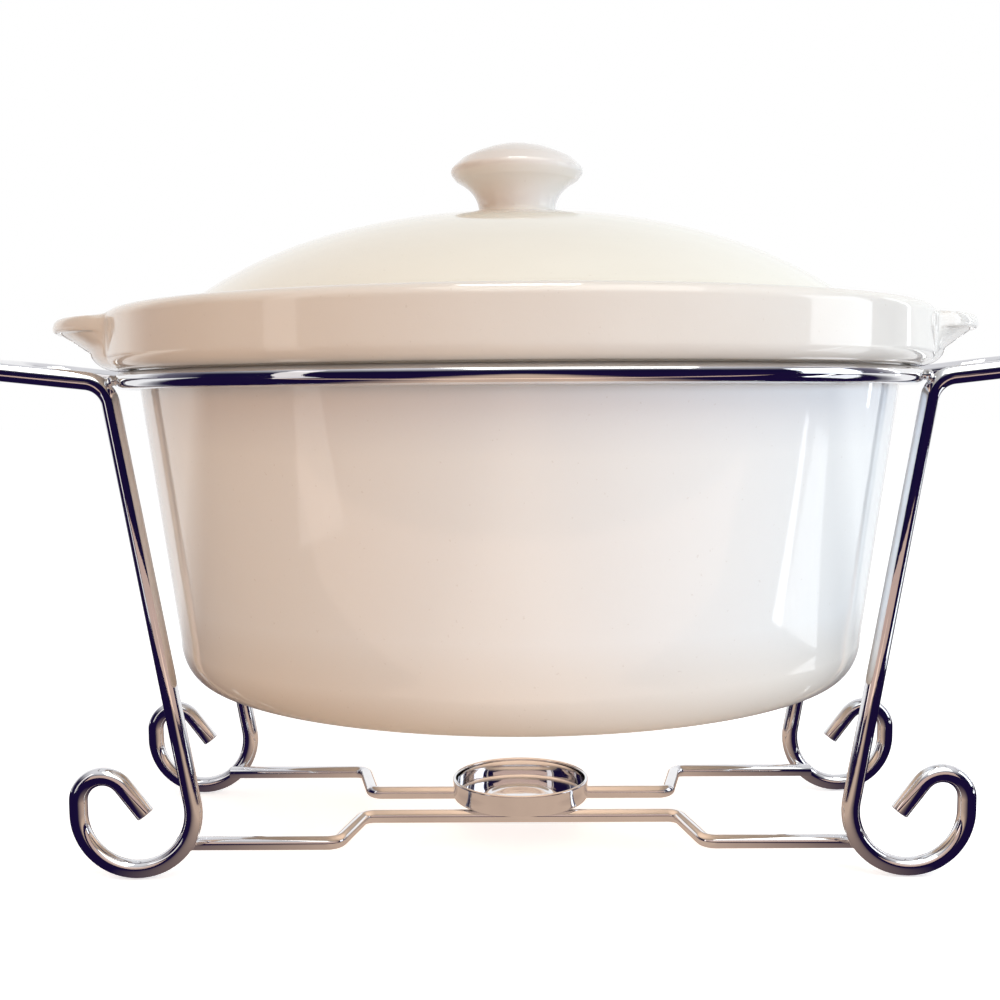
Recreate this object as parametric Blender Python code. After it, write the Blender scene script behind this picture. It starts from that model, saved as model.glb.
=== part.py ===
"""A lidded ceramic casserole on a bent-wire warming stand with a tealight cup.

Metres, +Z up. The origin is on the table under the middle of the stand, the ear
handles point along X and the front of the stand faces -Y.
"""

import math

import bmesh
import bpy
from mathutils import Vector

MM = 0.001

# Stand: thick wire for the ring and the two sides, thin wire for the rails.
SIDE_WIRE = 5.2 * MM
RING_WIRE = 5.0 * MM
RAIL_WIRE = 4.0 * MM
WELD_GAP = 0.3 * MM
SHORTEST_STEP = 0.2 * MM
WIRE_BEND_STEP = math.radians(18)
SIDE_Y = 40.8 * MM
RING_RADIUS = 118.1 * MM
RING_HEIGHT = 143.2 * MM

# Scroll foot and leg, as distances outwards from the middle of the stand.
SCROLL_INNER_X = 94.1 * MM
SCROLL_OUTER_X = 127.5 * MM
SCROLL_TOP_Z = 30.0 * MM
SCROLL_TOP_RADIUS = 7.2 * MM
SCROLL_TAIL_ANGLE = math.radians(53)
SCROLL_TAIL = 10.6 * MM
LEG_TOP_X = 115.7 * MM
LEG_TOP_Z = 142.6 * MM
LEG_BEND_RADIUS = 7.5 * MM
MEETING_BENDS = 0.999

# Carrying handle: the loop that joins a front leg to the rear leg behind it.
HANDLE_OUTER_X = 170.0 * MM
HANDLE_OUTER_Z = 148.8 * MM
HANDLE_OUTER_Y = 54.0 * MM
HANDLE_BEND_RADIUS = 14.0 * MM

# Rails: each runs along the feet and jogs inwards to pass under the cup.
RAIL_HEIGHT = 8.5 * MM
RAIL_END_X = 100.6 * MM
RAIL_JOG_OUTER_X = 55.0 * MM
RAIL_JOG_INNER_X = 46.5 * MM
RAIL_INNER_Y = 12.0 * MM
RAIL_BEND_RADIUS = 5.0 * MM

# Tealight cup, pressed from sheet.
CUP_RADIUS = 21.5 * MM
CUP_TOP = 17.6 * MM
CUP_WALL = 0.9 * MM
CUP_CORNER = 0.8 * MM

# Casserole pot.
POT_BASE_Z = 56.0 * MM
POT_BASE_RADIUS = 96.5 * MM
POT_CORNER_TOP_Z = 68.0 * MM
POT_CORNER_RADIUS = 103.8 * MM
POT_NECK_RADIUS = 114.0 * MM
POT_NECK_ROUND = 1.2 * MM
POT_WALL = 5.5 * MM
POT_FLOOR = 6.5 * MM
INNER_CORNER_EXTRA = 3.0 * MM
RIM_RADIUS = 123.3 * MM
RIM_TOP = 163.1 * MM
RIM_SEAT = RING_HEIGHT + RING_WIRE / 2 + WELD_GAP
RIM_ROUND = 3.2 * MM
RIM_UNDER_ROUND = 4.0 * MM
LID_LEDGE_Z = 156.6 * MM
LID_LEDGE_RADIUS = 105.0 * MM
LID_LEDGE_SLOPE_Z = RIM_SEAT + 4.0 * MM
LID_RECESS_RADIUS = 112.2 * MM
LID_RECESS_ROUND = 2.0 * MM
CHAMFER = 1.0 * MM

# Ear handles of the pot: a broad tongue on each side, turned with the pot.
POT_TURN = math.radians(2.5)
EAR_TIP_RADIUS = 139.8 * MM
EAR_CENTRE = 111.0 * MM
EAR_HALF_WIDTH = 45.0 * MM
EAR_FILLET = 2.6 * MM
EAR_FILLET_CUT = 0.3 * MM
EAR_HEIGHT_GAIN = 3.0
EAR_STEP_WIDTH = 1.4 * MM
EAR_TOP_Z = 161.6 * MM
EAR_TOP_FALL = 0.5 * MM
EAR_ROOT_WIDTH = 2.5 * MM
EAR_ROOT_BOTTOM_Z = 151.6 * MM
EAR_TIP_BOTTOM_Z = 157.0 * MM
EAR_TIP_ROUND = 2.4 * MM

# Lid: a shallow dome, with a flange that sits in the rim and a knob on top.
LID_CROWN = 193.1 * MM
LID_DOME_RADIUS = 102.0 * MM
DOME_SCALE_RADIUS = 100.0 * MM
DOME_SQUARE_FALL = 18.8 * MM
DOME_FOURTH_FALL = 9.2 * MM
LID_GROOVE_WIDTH = 2.5 * MM
LID_FLANGE_RADIUS = 111.2 * MM
LID_FLANGE_Z = 161.6 * MM
LID_FLANGE_ROUND = 1.5 * MM
LID_WALL = 5.0 * MM
LID_EDGE_THICKENING = 0.3
LID_LIP_OUTER = 103.6 * MM
LID_LIP_INNER = 99.5 * MM
LID_LIP_BOTTOM_Z = 152.4 * MM
LID_LIP_DRAFT = 0.4 * MM
BOSS_RADIUS = 19.5 * MM
BOSS_HEIGHT = 0.7 * MM
KNOB_NECK_RADIUS = 11.8 * MM
KNOB_NECK_Z = 195.0 * MM
KNOB_NECK_FILLET = 2.0 * MM
KNOB_FLARE_WIDTH = 16.0 * MM
KNOB_FLARE_HEIGHT = 11.0 * MM
KNOB_RADIUS = 20.3 * MM
KNOB_EDGE_Z = 206.7 * MM
KNOB_EDGE_ROUND = 1.8 * MM
KNOB_CAP_FALL = 5.6 * MM
KNOB_CAP_SHARE = 0.93
KNOB_TOP = 215.2 * MM

# Sections round each turned piece, and extra ones across each ear, in degrees from its middle.
POT_STEPS = 48
EAR_EXTRA_ANGLES = (4, 11.5, 18, 20.5, 21.5, 23.5, 25)
LID_STEPS = 44
CUP_STEPS = 32
RING_STEPS = 54


def clear_scene():
    for obj in list(bpy.data.objects):
        bpy.data.objects.remove(obj)


def make_material(name, colour, roughness, metallic):
    material = bpy.data.materials.new(name)
    material.use_nodes = True
    shader = material.node_tree.nodes["Principled BSDF"]
    shader.inputs["Base Color"].default_value = (*colour, 1.0)
    shader.inputs["Roughness"].default_value = roughness
    shader.inputs["Metallic"].default_value = metallic
    material.diffuse_color = (*colour, 1.0)
    return material


def arc(centre_x, centre_z, radius_x, radius_z, start, end, steps):
    """Points of an elliptical arc in the X-Z plane, angles in degrees from +X."""
    points = []
    for step in range(steps + 1):
        angle = math.radians(start + (end - start) * step / steps)
        points.append((centre_x + radius_x * math.cos(angle), centre_z + radius_z * math.sin(angle)))
    return points


def rounded_path(corners):
    """A path through the corners, given as (point, bend radius), with each corner bent to its radius."""
    path = [Vector(corners[0][0])]
    for (before, _), (corner, radius), (after, _) in zip(corners, corners[1:], corners[2:]):
        arriving = (Vector(corner) - Vector(before)).normalized()
        leaving = (Vector(after) - Vector(corner)).normalized()
        turn = arriving.angle(leaving)
        tangent_length = radius * math.tan(turn / 2)
        start = Vector(corner) - arriving * tangent_length
        side = (leaving - arriving * arriving.dot(leaving)).normalized()
        steps = max(2, math.ceil(turn / WIRE_BEND_STEP))
        for step in range(steps + 1):
            angle = turn * step / steps
            point = start + arriving * radius * math.sin(angle) + side * radius * (1 - math.cos(angle))
            if (point - path[-1]).length > SHORTEST_STEP:
                path.append(point)
    path.append(Vector(corners[-1][0]))
    return path


def add_wire(name, path, diameter, material, closed=False):
    """A wire of round section along the path, with flat ends unless it is a closed ring."""
    curve = bpy.data.curves.new(name, "CURVE")
    curve.dimensions = "3D"
    curve.bevel_depth = diameter / 2
    curve.bevel_resolution = 3
    curve.use_fill_caps = not closed
    spline = curve.splines.new("POLY")
    spline.points.add(len(path) - 1)
    for spline_point, point in zip(spline.points, path):
        spline_point.co = (*point, 1.0)
    spline.use_cyclic_u = closed
    spline.use_smooth = True
    wire = bpy.data.objects.new(name, curve)
    wire.data.materials.append(material)
    bpy.context.scene.collection.objects.link(wire)
    return wire


def add_lathe(name, profile, steps, material):
    """A turned solid from a profile of (radius, height) that runs down its outer side."""
    mesh = bpy.data.meshes.new(name)
    vertices = [(radius, 0.0, height) for radius, height in profile]
    edges = [(index, index + 1) for index in range(len(profile) - 1)]
    mesh.from_pydata(vertices, edges, [])
    mesh.materials.append(material)
    turned = bpy.data.objects.new(name, mesh)
    bpy.context.scene.collection.objects.link(turned)
    screw = turned.modifiers.new("Turn", "SCREW")
    screw.axis = "Z"
    screw.angle = 2 * math.pi
    screw.steps = steps
    screw.render_steps = steps
    screw.use_merge_vertices = True
    screw.merge_threshold = 0.00001
    screw.use_smooth_shade = True
    return turned


def side_wire_path(side):
    """One side of the stand: scroll foot, leg, carrying handle, leg and scroll foot, in one wire."""
    tangent = SCROLL_TOP_RADIUS * math.tan(SCROLL_TAIL_ANGLE / 2)
    tail_corner = Vector((SCROLL_OUTER_X - SCROLL_TOP_RADIUS - tangent, 0, SCROLL_TOP_Z))
    tail_way = Vector((-math.cos(SCROLL_TAIL_ANGLE), 0, -math.sin(SCROLL_TAIL_ANGLE)))
    tail_end = tail_corner + tail_way * (tangent + SCROLL_TAIL)
    loop_radius = (SCROLL_OUTER_X - SCROLL_INNER_X) / 2
    floor_z = SIDE_WIRE / 2
    loop_centre = Vector((SCROLL_OUTER_X - loop_radius, 0, floor_z + loop_radius))
    leg_top = Vector((LEG_TOP_X, 0, LEG_TOP_Z))

    # The leg is the line from its top that touches the scroll's big bend. The two bends that make
    # up the bottom of the scroll are a hair small, so that they meet without crossing.
    to_top = leg_top - loop_centre
    lean = math.atan2(to_top.x, to_top.z) + math.asin(loop_radius / to_top.length)
    floor_corner_x = LEG_TOP_X - (LEG_TOP_Z - floor_z) * math.tan(lean)
    half = [
        ((tail_end.x, 0, tail_end.z), 0.0),
        ((tail_corner.x, 0, SCROLL_TOP_Z), SCROLL_TOP_RADIUS),
        ((SCROLL_OUTER_X, 0, SCROLL_TOP_Z), SCROLL_TOP_RADIUS),
        ((SCROLL_OUTER_X, 0, floor_z), loop_radius * MEETING_BENDS),
        ((floor_corner_x, 0, floor_z), loop_radius * MEETING_BENDS),
        ((LEG_TOP_X, 0, LEG_TOP_Z), LEG_BEND_RADIUS),
    ]
    front = [(Vector((side * x, -SIDE_Y, z)), radius) for (x, _, z), radius in half]
    front.append((Vector((side * HANDLE_OUTER_X, -HANDLE_OUTER_Y, HANDLE_OUTER_Z)), HANDLE_BEND_RADIUS))
    rear = [(Vector((point.x, -point.y, point.z)), radius) for point, radius in reversed(front)]
    return rounded_path(front + rear)


def rail_path(facing):
    """A rail at constant height, with an inward jog on each side of the cup."""
    outer_y = facing * (SIDE_Y - SIDE_WIRE / 2 - WELD_GAP - RAIL_WIRE / 2)
    inner_y = facing * RAIL_INNER_Y
    half = [
        (Vector((-RAIL_END_X, outer_y, RAIL_HEIGHT)), 0.0),
        (Vector((-RAIL_JOG_OUTER_X, outer_y, RAIL_HEIGHT)), RAIL_BEND_RADIUS),
        (Vector((-RAIL_JOG_INNER_X, inner_y, RAIL_HEIGHT)), RAIL_BEND_RADIUS),
    ]
    other = [(Vector((-point.x, point.y, point.z)), radius) for point, radius in reversed(half)]
    return rounded_path(half + other)


def cup_profile():
    """The pressed cup: floor, wall with a rounded lip, and the underside that lies on the rails."""
    bottom = RAIL_HEIGHT + RAIL_WIRE / 2 + WELD_GAP
    inner = CUP_RADIUS - CUP_WALL
    lip_z = CUP_TOP - CUP_WALL / 2
    corner_z = bottom + CUP_WALL + CUP_CORNER
    profile = [(0.0, bottom + CUP_WALL)]
    profile += arc(inner - CUP_CORNER, corner_z, CUP_CORNER, CUP_CORNER, -90, 0, 3)
    profile += arc(CUP_RADIUS - CUP_WALL / 2, lip_z, CUP_WALL / 2, CUP_WALL / 2, 180, 0, 4)
    outer_corner = CUP_CORNER + CUP_WALL
    profile += arc(CUP_RADIUS - outer_corner, bottom + outer_corner, outer_corner, outer_corner, 0, -90, 3)
    profile.append((0.0, bottom))
    return profile


def pot_inner_profile():
    """Inside of the pot, from the middle of its floor up to the top of its rim."""
    floor_z = POT_BASE_Z + POT_FLOOR
    corner_width = POT_CORNER_RADIUS - POT_BASE_RADIUS + INNER_CORNER_EXTRA
    corner_height = POT_CORNER_TOP_Z - POT_BASE_Z + INNER_CORNER_EXTRA
    corner_x = POT_CORNER_RADIUS - POT_WALL - corner_width
    profile = [(0.0, floor_z)]
    profile += arc(corner_x, floor_z + corner_height, corner_width, corner_height, -90, 0, 4)
    profile.append((LID_LEDGE_RADIUS, LID_LEDGE_SLOPE_Z))
    profile.append((LID_LEDGE_RADIUS, LID_LEDGE_Z - CHAMFER))
    profile.append((LID_LEDGE_RADIUS + CHAMFER, LID_LEDGE_Z))
    profile.append((LID_RECESS_RADIUS, LID_LEDGE_Z))
    edge = LID_RECESS_ROUND
    profile += arc(LID_RECESS_RADIUS + edge, RIM_TOP - edge, edge, edge, 180, 90, 3)
    return profile


def rim_profiles():
    """Outer side of the rim, plain and along the middle of an ear, with matching points."""
    plain = arc(RIM_RADIUS - RIM_ROUND, RIM_TOP - RIM_ROUND, RIM_ROUND, RIM_ROUND, 90, 20, 3)
    tip_x = EAR_TIP_RADIUS - EAR_TIP_ROUND
    step_x = RIM_RADIUS + EAR_STEP_WIDTH
    step_height = RIM_TOP - EAR_TOP_Z
    ear = [(RIM_RADIUS - RIM_ROUND, RIM_TOP)]
    ear.append((RIM_RADIUS - EAR_STEP_WIDTH, RIM_TOP - step_height / 2))
    ear.append((step_x, EAR_TOP_Z))
    ear.append(((step_x + tip_x) / 2, EAR_TOP_Z - EAR_TOP_FALL / 2))

    tip_top_z = EAR_TOP_Z - EAR_TOP_FALL
    ear += arc(tip_x, tip_top_z - EAR_TIP_ROUND, EAR_TIP_ROUND, EAR_TIP_ROUND, 90, 0, 2)
    ear += arc(tip_x, EAR_TIP_BOTTOM_Z + EAR_TIP_ROUND, EAR_TIP_ROUND, EAR_TIP_ROUND, -30, -100, 2)
    ear.append((RIM_RADIUS + EAR_ROOT_WIDTH, EAR_ROOT_BOTTOM_Z + CHAMFER))
    band_bottom = EAR_ROOT_BOTTOM_Z - CHAMFER
    ear.append((RIM_RADIUS, band_bottom))

    band_top = plain[-1][1]
    band_steps = len(ear) - len(plain)
    for step in range(1, band_steps + 1):
        plain.append((RIM_RADIUS, band_top + (band_bottom - band_top) * step / band_steps))

    curve = RIM_UNDER_ROUND
    under = arc(RIM_RADIUS - curve, RIM_SEAT + curve, curve, curve, -15, -90, 3)
    under.append((POT_NECK_RADIUS + POT_NECK_ROUND, RIM_SEAT))
    under.append((POT_NECK_RADIUS, RIM_SEAT - POT_NECK_ROUND))
    return plain + under, ear + under


def pot_outer_tail():
    """Outer wall of the pot below its rim, down to the middle of its base."""
    width = POT_CORNER_RADIUS - POT_BASE_RADIUS
    height = POT_CORNER_TOP_Z - POT_BASE_Z
    profile = arc(POT_BASE_RADIUS, POT_CORNER_TOP_Z, width, height, 0, -90, 4)
    profile.append((0.0, POT_BASE_Z))
    return profile


def ear_reach(angle):
    """How far an ear stands out at this angle from its middle, from 0 at its root to 1 at its tip."""
    half_length = EAR_TIP_RADIUS - EAR_CENTRE
    along = math.cos(angle) / half_length
    across = math.sin(angle) / EAR_HALF_WIDTH
    a = along**2 + across**2
    b = -2 * EAR_CENTRE * math.cos(angle) / half_length**2
    c = (EAR_CENTRE / half_length) ** 2 - 1
    inside = b * b - 4 * a * c
    if inside <= 0 or math.cos(angle) < 0:
        return 0.0
    stand_out = (-b + math.sqrt(inside)) / (2 * a) - RIM_RADIUS
    softened = (stand_out + math.sqrt(stand_out**2 + EAR_FILLET**2)) / 2
    full = EAR_TIP_RADIUS - RIM_RADIUS
    return max(0.0, softened - EAR_FILLET_CUT) / full


def pot_angles():
    """Angles round the pot: even steps, with more of them across each ear."""
    angles = set()
    for step in range(POT_STEPS):
        angles.add(360 * step / POT_STEPS)
    for middle in (0, 180):
        for offset in EAR_EXTRA_ANGLES:
            angles.add((middle + offset) % 360)
            angles.add((middle - offset) % 360)
    return sorted(angles)


def add_pot(material):
    """The pot is turned like a lathe piece whose rim profile swells into an ear on each side."""
    plain, ear = rim_profiles()
    inner = pot_inner_profile()
    tail = pot_outer_tail()
    shape = bmesh.new()
    rings = []
    for degrees in pot_angles():
        angle = math.radians(degrees)
        from_ear = (angle + math.pi / 2) % math.pi - math.pi / 2
        reach = ear_reach(from_ear)
        lift = min(1.0, EAR_HEIGHT_GAIN * reach)
        rim = []
        for (plain_r, plain_z), (ear_r, ear_z) in zip(plain, ear):
            rim.append((plain_r + (ear_r - plain_r) * reach, plain_z + (ear_z - plain_z) * lift))
        turned = angle + POT_TURN
        way = Vector((math.cos(turned), math.sin(turned), 0))
        ring = [shape.verts.new(way * r + Vector((0, 0, z))) for r, z in (inner + rim + tail)[1:-1]]
        rings.append(ring)
    floor_middle = shape.verts.new((0, 0, inner[0][1]))
    base_middle = shape.verts.new((0, 0, tail[-1][1]))
    for index, ring in enumerate(rings):
        following = rings[(index + 1) % len(rings)]
        for low in range(len(ring) - 1):
            shape.faces.new((ring[low], ring[low + 1], following[low + 1], following[low]))
        shape.faces.new((floor_middle, ring[0], following[0]))
        shape.faces.new((base_middle, following[-1], ring[-1]))
    bmesh.ops.recalc_face_normals(shape, faces=shape.faces)
    mesh = bpy.data.meshes.new("casserole_pot")
    shape.to_mesh(mesh)
    shape.free()
    mesh.shade_smooth()
    mesh.materials.append(material)
    pot = bpy.data.objects.new("casserole_pot", mesh)
    bpy.context.scene.collection.objects.link(pot)
    return pot


def dome_height(radius):
    """Height of the lid's outer surface: nearly flat at the crown and steeper towards its edge."""
    share = radius / DOME_SCALE_RADIUS
    return LID_CROWN - DOME_SQUARE_FALL * share**2 - DOME_FOURTH_FALL * share**4


def lid_profile():
    """Knob, boss, dome, flange, locating lip and the hollow inside of the lid."""
    profile = []
    cap_radius = KNOB_RADIUS - KNOB_EDGE_ROUND
    for step in range(5):
        share = KNOB_CAP_SHARE * step / 4
        profile.append((cap_radius * share, KNOB_TOP - KNOB_CAP_FALL * share**2))
    profile += arc(cap_radius, KNOB_EDGE_Z, KNOB_EDGE_ROUND, KNOB_EDGE_ROUND, 45, -50, 3)
    flare_x = KNOB_NECK_RADIUS + KNOB_FLARE_WIDTH
    profile += arc(flare_x, KNOB_NECK_Z, KNOB_FLARE_WIDTH, KNOB_FLARE_HEIGHT, 125, 180, 4)
    boss_top = dome_height(BOSS_RADIUS) + BOSS_HEIGHT
    foot = KNOB_NECK_FILLET
    profile += arc(KNOB_NECK_RADIUS + foot, boss_top + foot, foot, foot, 225, 270, 1)
    profile.append((BOSS_RADIUS - CHAMFER, boss_top))
    for step in range(9):
        radius = BOSS_RADIUS + (LID_DOME_RADIUS - BOSS_RADIUS) * step / 8
        profile.append((radius, dome_height(radius)))

    profile.append((LID_DOME_RADIUS + LID_GROOVE_WIDTH, LID_FLANGE_Z))
    edge = LID_FLANGE_ROUND
    profile += arc(LID_FLANGE_RADIUS - edge, LID_FLANGE_Z - edge, edge, edge, 90, 0, 2)
    flange_bottom = LID_LEDGE_Z + WELD_GAP
    profile.append((LID_FLANGE_RADIUS, flange_bottom + CHAMFER))
    profile.append((LID_FLANGE_RADIUS - CHAMFER, flange_bottom))
    profile.append((LID_LIP_OUTER, flange_bottom))
    profile.append((LID_LIP_OUTER - LID_LIP_DRAFT, LID_LIP_BOTTOM_Z))
    profile.append((LID_LIP_INNER, LID_LIP_BOTTOM_Z))
    for step in range(7):
        radius = (LID_LIP_INNER - CHAMFER) * (6 - step) / 6
        wall = LID_WALL * (1 + LID_EDGE_THICKENING * (radius / LID_LIP_INNER) ** 2)
        profile.append((radius, dome_height(radius) - wall))
    return profile


def main():
    clear_scene()
    ceramic = make_material("glazed_ceramic", (0.86, 0.80, 0.72), 0.08, 0.0)
    chrome = make_material("chrome", (0.80, 0.80, 0.84), 0.06, 1.0)

    for side, name in ((-1, "left_side_wire"), (1, "right_side_wire")):
        add_wire(name, side_wire_path(side), SIDE_WIRE, chrome)
    for facing, name in ((-1, "front_rail"), (1, "rear_rail")):
        add_wire(name, rail_path(facing), RAIL_WIRE, chrome)
    circle = []
    for step in range(RING_STEPS):
        angle = 2 * math.pi * step / RING_STEPS
        circle.append(Vector((RING_RADIUS * math.cos(angle), RING_RADIUS * math.sin(angle), RING_HEIGHT)))
    add_wire("top_ring", circle, RING_WIRE, chrome, closed=True)
    add_lathe("tealight_cup", cup_profile(), CUP_STEPS, chrome)

    add_pot(ceramic)
    add_lathe("lid", lid_profile(), LID_STEPS, ceramic)


main()
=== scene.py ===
"""Looks for the lidded casserole on its chrome warming stand.

Metres, +Z up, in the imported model's frame: the origin is on the table under the middle of
the stand, the ears and carrying handles point along X, and the front faces -Y.
"""

import math

import bmesh
import bpy
from mathutils import Matrix, Vector, noise


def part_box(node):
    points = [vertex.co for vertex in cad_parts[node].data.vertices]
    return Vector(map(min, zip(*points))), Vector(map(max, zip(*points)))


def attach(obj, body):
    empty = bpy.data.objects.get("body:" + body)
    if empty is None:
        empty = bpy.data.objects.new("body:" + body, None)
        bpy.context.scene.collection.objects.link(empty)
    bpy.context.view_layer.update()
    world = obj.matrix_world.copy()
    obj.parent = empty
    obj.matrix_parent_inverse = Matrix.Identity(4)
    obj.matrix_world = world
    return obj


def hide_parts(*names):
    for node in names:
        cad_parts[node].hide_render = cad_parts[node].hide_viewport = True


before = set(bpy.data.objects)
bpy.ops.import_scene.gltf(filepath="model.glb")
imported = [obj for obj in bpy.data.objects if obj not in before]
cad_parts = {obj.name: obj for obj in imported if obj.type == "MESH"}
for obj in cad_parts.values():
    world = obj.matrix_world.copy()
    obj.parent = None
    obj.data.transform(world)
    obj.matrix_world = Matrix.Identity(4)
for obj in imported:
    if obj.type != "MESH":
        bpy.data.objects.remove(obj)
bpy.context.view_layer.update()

MM = 0.001

# The CAD keeps this much between pieces that touch.
CAD_GAP = 0.3 * MM


def half_sizes(node):
    """(middle, half size) of a CAD node's box."""
    low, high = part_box(node)
    return (low + high) / 2, (high - low) / 2


# Places that the frame gives.
POT_LOW, POT_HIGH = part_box("casserole_pot")
LID_LOW, LID_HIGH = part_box("lid")
CUP_LOW, CUP_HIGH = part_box("tealight_cup")
RING_MIDDLE, RING_HALF = half_sizes("top_ring")
SIDE_LOW, SIDE_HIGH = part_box("right_side_wire")
RAIL_LOW, RAIL_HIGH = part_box("rear_rail")

# Stand wires.
SIDE_WIRE = 5.2 * MM
RING_WIRE = 5.0 * MM
RAIL_WIRE = 4.0 * MM
SIDE_Y = 40.8 * MM
RING_RADIUS = RING_HALF.x - RING_WIRE / 2
RING_HEIGHT = RING_MIDDLE.z
WIRE_SIDES = 32
BEND_STEP = math.radians(5)
SHORTEST_STEP = 0.2 * MM

# Worn edge of a cut wire end, as shares of the wire's radius and of the edge.
WORN_EDGE = 0.14
WORN_EDGE_BULGE = 0.29

# Scroll foot and leg.
SCROLL_INNER_X = SIDE_LOW.x + SIDE_WIRE / 2
SCROLL_OUTER_X = 127.5 * MM
SCROLL_TOP_Z = 30.0 * MM
SCROLL_TOP_RADIUS = 7.2 * MM
SCROLL_TAIL_ANGLE = math.radians(53)
SCROLL_TAIL = 10.6 * MM
LEG_TOP_X = 115.7 * MM
LEG_TOP_Z = 142.6 * MM
LEG_BEND_RADIUS = 7.5 * MM
MEETING_BENDS = 0.999

# Carrying handle.
HANDLE_OUTER_X = SIDE_HIGH.x - SIDE_WIRE / 2
HANDLE_OUTER_Z = 148.8 * MM
HANDLE_OUTER_Y = 54.0 * MM
HANDLE_BEND_RADIUS = 14.0 * MM

# Rails.
RAIL_HEIGHT = (RAIL_LOW.z + RAIL_HIGH.z) / 2
RAIL_END_X = RAIL_HIGH.x
RAIL_JOG_OUTER_X = 53.6 * MM
RAIL_JOG_INNER_X = 48.4 * MM
RAIL_INNER_Y = 12.0 * MM
RAIL_BEND_RADIUS = 4.0 * MM

# Weld beads, as length, width and height, and where they lie.
RING_WELD = (6.0 * MM, 4.2 * MM, 3.6 * MM)
RING_WELD_PROUD = 0.1 * MM
RAIL_WELD = (4.6 * MM, 3.4 * MM, 3.0 * MM)
RAIL_WELD_INSET = 4.2 * MM
RAIL_WELD_SLOPE = -0.6
CUP_WELD = (4.0 * MM, 1.4 * MM, 2.6 * MM)
CUP_WELD_X = 9.0 * MM
WELD_WAIST = 0.22
WELD_WAIST_WIDTH = 0.35
WELD_ROUGHNESS = 0.10
WELD_WAVES = 2.1
RAIL_WELD_SEED = 10
CUP_WELD_SEED = 20

# Tealight cup, and the ring pressed up in its floor as distances from the middle and heights.
CUP_RADIUS = CUP_HIGH.x
CUP_TOP = CUP_HIGH.z
CUP_BOTTOM = CUP_LOW.z
CUP_WALL = 0.7 * MM
CUP_CORNER = 0.6 * MM
CUP_LIP = 0.55 * MM
CUP_LIP_TURN = (200, -20)
CUP_LIP_DROP_INSIDE = 0.4 * CUP_LIP
CUP_LIP_DROP_OUTSIDE = 0.5 * CUP_LIP
CUP_RING_START = 9.0 * MM
CUP_RING_END = 13.0 * MM
CUP_RING_MM = ((9.6, 0.12), (10.2, 0.30), (11.0, 0.34), (11.8, 0.30), (12.4, 0.12))

# Pot.
POT_BASE_Z = POT_LOW.z
POT_BASE_RADIUS = 96.5 * MM
POT_CORNER_TOP_Z = 68.0 * MM
POT_CORNER_RADIUS = 103.8 * MM
POT_NECK_RADIUS = 114.0 * MM
POT_NECK_ROUND = 1.2 * MM
POT_WALL = 5.5 * MM
POT_FLOOR = 6.5 * MM
INNER_CORNER_EXTRA = 3.0 * MM
INNER_FLOOR_INSET = 1.0 * MM
RIM_RADIUS = POT_HIGH.y
RIM_TOP = POT_HIGH.z
RIM_SEAT = RING_HEIGHT + RING_WIRE / 2 + CAD_GAP
RIM_ROUND = 3.2 * MM
RIM_UNDER_ROUND = 4.0 * MM
RIM_UNDER_TURN = (-6, -90)
LID_LEDGE_Z = 156.6 * MM
LID_LEDGE_RADIUS = 105.0 * MM
LID_LEDGE_ROUND = 1.2 * MM
LID_LEDGE_SLOPE_Z = RIM_SEAT + 4.0 * MM
LID_RECESS_RADIUS = 112.2 * MM
LID_RECESS_ROUND = 2.0 * MM
LID_RECESS_CORNER = 0.8 * MM

# Ears.
POT_TURN = math.radians(2.5)
EAR_TIP_RADIUS = 139.8 * MM
EAR_CENTRE = 111.0 * MM
EAR_HALF_WIDTH = 45.0 * MM
EAR_FILLET = 2.6 * MM
EAR_FILLET_CUT = 0.3 * MM
EAR_HEIGHT_GAIN = 3.0
EAR_STEP_WIDTH = 1.8 * MM
EAR_TOP_Z = 161.6 * MM
EAR_TOP_FALL = 0.5 * MM
EAR_TIP_TOP_ROUND = 2.4 * MM
EAR_TIP_BOTTOM_ROUND = 1.4 * MM
EAR_TIP_BOTTOM_TURN = (0, -110)
EAR_TIP_BOTTOM_Z = 157.0 * MM
EAR_ROOT_WIDTH = 5.2 * MM
EAR_ROOT_Z = 151.4 * MM
EAR_BAND_BOTTOM_Z = 150.4 * MM
EAR_WEB_BEND = 0.6
EAR_WEB_BEND_Z = RIM_SEAT + 0.4 * MM

# Lid.
LID_CROWN = 193.1 * MM
LID_DOME_RADIUS = 102.0 * MM
DOME_SCALE_RADIUS = 100.0 * MM
DOME_SQUARE_FALL = 18.8 * MM
DOME_FOURTH_FALL = 9.2 * MM
LID_GROOVE_WIDTH = 2.5 * MM
LID_GROOVE_BEND = 0.35
LID_GROOVE_BEND_Z = 0.5 * MM
LID_FLANGE_RADIUS = LID_HIGH.x
LID_FLANGE_Z = 161.6 * MM
LID_FLANGE_ROUND = 1.5 * MM
LID_FLANGE_UNDER_ROUND = 1.0 * MM
LID_WALL = 5.0 * MM
LID_EDGE_THICKENING = 0.3
LID_LIP_OUTER = 103.6 * MM
LID_LIP_INNER = 99.5 * MM
LID_LIP_BOTTOM_Z = LID_LOW.z
LID_LIP_ROUND = 1.2 * MM
LID_LIP_FILLET = 0.5 * MM
LID_HOLLOW_EDGE = LID_LIP_INNER - 1.0 * MM
BOSS_RADIUS = 19.5 * MM
BOSS_HEIGHT = 0.8 * MM
BOSS_EDGE_TURN = (90, 30)
KNOB_TOP = LID_HIGH.z
KNOB_NECK_RADIUS = 11.8 * MM
KNOB_NECK_Z = 195.0 * MM
KNOB_NECK_FILLET = 2.2 * MM
KNOB_FLARE_WIDTH = 16.0 * MM
KNOB_FLARE_HEIGHT = 11.0 * MM
KNOB_FLARE_TURN = (125, 180)
KNOB_RADIUS = 20.3 * MM
KNOB_EDGE_Z = 206.7 * MM
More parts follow.
